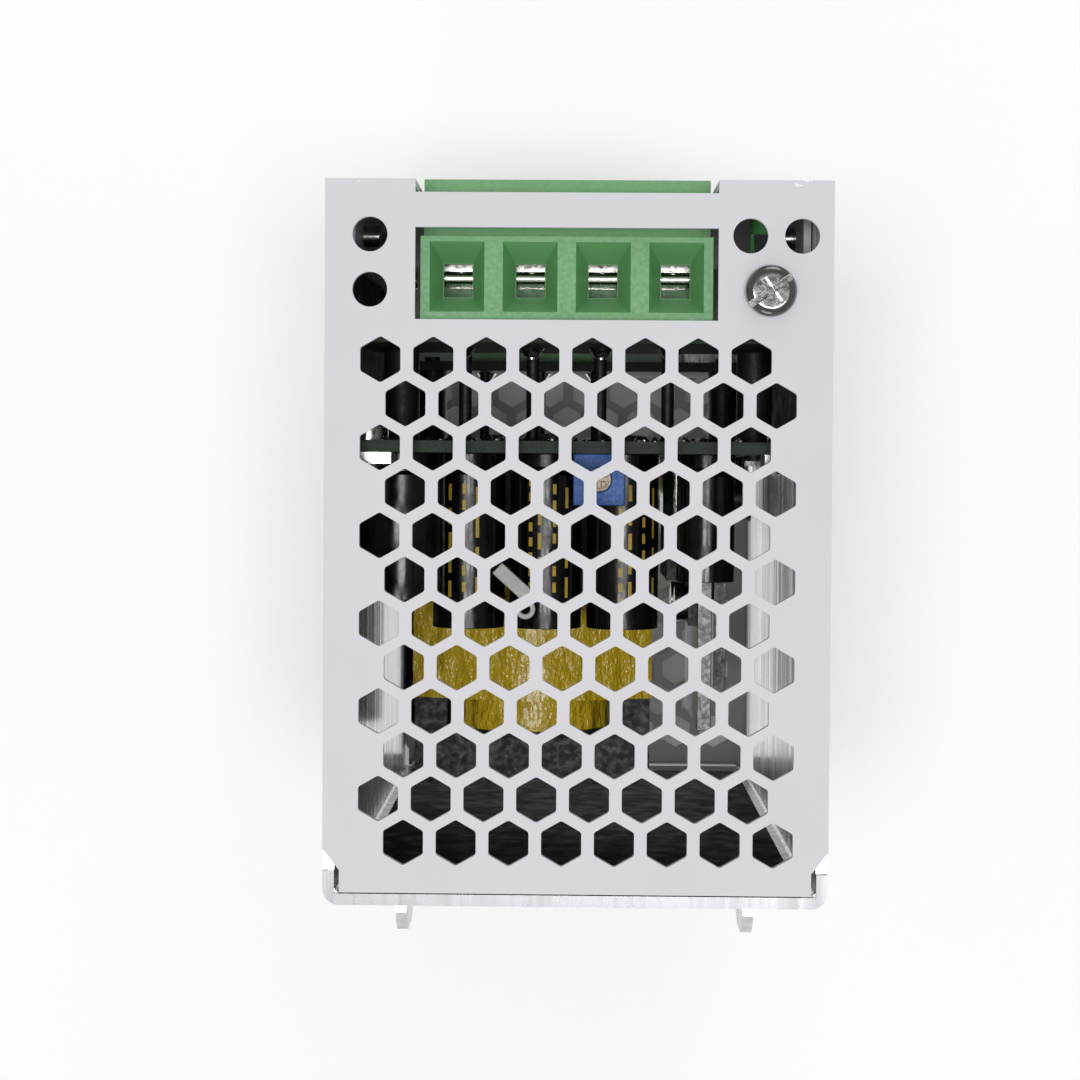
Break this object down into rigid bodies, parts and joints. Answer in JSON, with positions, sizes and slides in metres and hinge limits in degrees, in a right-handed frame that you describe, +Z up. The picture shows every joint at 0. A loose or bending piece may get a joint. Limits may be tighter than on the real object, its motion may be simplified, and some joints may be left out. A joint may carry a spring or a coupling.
{
  "type": "din rail power supply",
  "caption": "Narrow metal-cased DIN rail power supply with hexagonal vents in both ends, green screw terminals and a sprung rail latch.",
  "frame": {"origin": "middle of the DIN rail's width, on the outer face of the chassis base that rests on the rail", "axes": "+Z up along the unit's height, as hung on an upright rail; +Y from the front panel towards the rail; +X across the width"},
  "size_m": [0.0654, 0.1011, 0.1298],
  "materials": {
    "bare_aluminium": "bare, lightly brushed",
    "painted_steel": "fine silver-grey powder coat",
    "plated_steel": "nickel plated",
    "black_film": "smooth",
    "circuit_board": "solder mask",
    "white_nylon": "natural",
    "tinned_copper": "tinned",
    "green_plastic": "moulded",
    "blue_plastic": "moulded",
    "capacitor_sleeve": "shrink sleeve",
    "ferrite": "ground",
    "black_plastic": "moulded",
    "yellow_tape": "polyester tape",
    "copper_wire": "enamelled",
    "yellow_box": "moulded",
    "fuse_ceramic": "plain",
    "green_lacquer": "dipped",
    "solder": "bright",
    "green_lens": "diffused",
    "spring_steel": "drawn"
  },
  "bodies": {
    "unit": {"chassis": "bare_aluminium", "cover": "painted_steel", "cover_screws": "plated_steel", "end_screws": "plated_steel", "base_film": "black_film", "side_films": "black_film", "main_board": "circuit_board", "output_board": "circuit_board", "input_board": "circuit_board", "board_spacers": "white_nylon", "board_screws": "plated_steel", "link_wires": "black_plastic", "output_terminal_1": "green_plastic", "output_terminal_2": "green_plastic", "input_terminal": "green_plastic", "output_contacts": "tinned_copper", "input_contacts": "tinned_copper", "trimmer_body": "blue_plastic", "output_capacitors": "capacitor_sleeve", "filter_capacitors": "capacitor_sleeve", "bulk_capacitor": "capacitor_sleeve", "cable_tie": "white_nylon", "transformer_core_1": "ferrite", "transformer_core_2": "ferrite", "bobbin": "black_plastic", "winding": "yellow_tape", "core_tape": "yellow_tape", "output_heatsink": "bare_aluminium", "input_heatsink": "bare_aluminium", "rectifier_diodes": "black_plastic", "power_transistors": "black_plastic", "device_screws": "plated_steel", "choke_core": "ferrite", "choke_windings": "copper_wire", "x_capacitor": "yellow_box", "fuse": "fuse_ceramic", "thermistor": "green_lacquer", "bridge_rectifier": "black_plastic", "y_capacitors": "blue_plastic", "control_chips": "black_plastic", "device_leads": "tinned_copper", "solder_joints": "solder", "led": "green_lens", "latch_spring": "spring_steel"},
    "output_screw_1": {"output_screw_1": "plated_steel"},
    "output_cage_1": {"output_cage_1": "plated_steel"},
    "output_screw_2": {"output_screw_2": "plated_steel"},
    "output_cage_2": {"output_cage_2": "plated_steel"},
    "output_screw_3": {"output_screw_3": "plated_steel"},
    "output_cage_3": {"output_cage_3": "plated_steel"},
    "output_screw_4": {"output_screw_4": "plated_steel"},
    "output_cage_4": {"output_cage_4": "plated_steel"},
    "input_screw_1": {"input_screw_1": "plated_steel"},
    "input_cage_1": {"input_cage_1": "plated_steel"},
    "input_screw_2": {"input_screw_2": "plated_steel"},
    "input_cage_2": {"input_cage_2": "plated_steel"},
    "input_screw_3": {"input_screw_3": "plated_steel"},
    "input_cage_3": {"input_cage_3": "plated_steel"},
    "trimmer_rotor": {"trimmer_rotor": "plated_steel"},
    "latch": {"latch_slider": "plated_steel"}
  },
  "joints": [
    {"name": "output_screw_1_turn", "type": "hinge", "parent": "unit", "child": "output_screw_1", "pos_m": [0.01585, -0.0923, 0.0224], "axis": [0, 1, 0], "range_deg": [0, 1981]},
    {"name": "output_cage_1_rise", "type": "slide", "parent": "unit", "child": "output_cage_1", "axis": [0, -1, 0], "range_m": [0, 0.0033]},
    {"name": "output_screw_2_turn", "type": "hinge", "parent": "unit", "child": "output_screw_2", "pos_m": [0.00635, -0.0923, 0.0224], "axis": [0, 1, 0], "range_deg": [0, 1981]},
    {"name": "output_cage_2_rise", "type": "slide", "parent": "unit", "child": "output_cage_2", "axis": [0, -1, 0], "range_m": [0, 0.0033]},
    {"name": "output_screw_3_turn", "type": "hinge", "parent": "unit", "child": "output_screw_3", "pos_m": [-0.00315, -0.0923, 0.0224], "axis": [0, 1, 0], "range_deg": [0, 1981]},
    {"name": "output_cage_3_rise", "type": "slide", "parent": "unit", "child": "output_cage_3", "axis": [0, -1, 0], "range_m": [0, 0.0033]},
    {"name": "output_screw_4_turn", "type": "hinge", "parent": "unit", "child": "output_screw_4", "pos_m": [-0.01265, -0.0923, 0.0224], "axis": [0, 1, 0], "range_deg": [0, 1981]},
    {"name": "output_cage_4_rise", "type": "slide", "parent": "unit", "child": "output_cage_4", "axis": [0, -1, 0], "range_m": [0, 0.0033]},
    {"name": "input_screw_1_turn", "type": "hinge", "parent": "unit", "child": "input_screw_1", "pos_m": [0.01585, -0.0923, -0.0726], "axis": [0, 1, 0], "range_deg": [0, 1981]},
    {"name": "input_cage_1_rise", "type": "slide", "parent": "unit", "child": "input_cage_1", "axis": [0, -1, 0], "range_m": [0, 0.0033]},
    {"name": "input_screw_2_turn", "type": "hinge", "parent": "unit", "child": "input_screw_2", "pos_m": [0.00635, -0.0923, -0.0726], "axis": [0, 1, 0], "range_deg": [0, 1981]},
    {"name": "input_cage_2_rise", "type": "slide", "parent": "unit", "child": "input_cage_2", "axis": [0, -1, 0], "range_m": [0, 0.0033]},
    {"name": "input_screw_3_turn", "type": "hinge", "parent": "unit", "child": "input_screw_3", "pos_m": [-0.00315, -0.0923, -0.0726], "axis": [0, 1, 0], "range_deg": [0, 1981]},
    {"name": "input_cage_3_rise", "type": "slide", "parent": "unit", "child": "input_cage_3", "axis": [0, -1, 0], "range_m": [0, 0.0033]},
    {"name": "trimmer_turn", "type": "hinge", "parent": "unit", "child": "trimmer_rotor", "pos_m": [-0.0029, -0.05535, 0.0273], "axis": [0, 0, 1], "range_deg": [-130, 130]},
    {"name": "latch_pull", "type": "slide", "parent": "unit", "child": "latch", "axis": [0, 0, -1], "range_m": [0, 0.005], "stiffness_N_per_m": 900, "springref_m": -0.004, "deforming": ["latch_spring"]}
  ],
  "couplings": [
    {"joint": "output_screw_1_turn", "follows": "output_cage_1_rise", "rad_per_m": 10472},
    {"joint": "output_screw_2_turn", "follows": "output_cage_2_rise", "rad_per_m": 10472},
    {"joint": "output_screw_3_turn", "follows": "output_cage_3_rise", "rad_per_m": 10472},
    {"joint": "output_screw_4_turn", "follows": "output_cage_4_rise", "rad_per_m": 10472},
    {"joint": "input_screw_1_turn", "follows": "input_cage_1_rise", "rad_per_m": 10472},
    {"joint": "input_screw_2_turn", "follows": "input_cage_2_rise", "rad_per_m": 10472},
    {"joint": "input_screw_3_turn", "follows": "input_cage_3_rise", "rad_per_m": 10472}
  ]
}
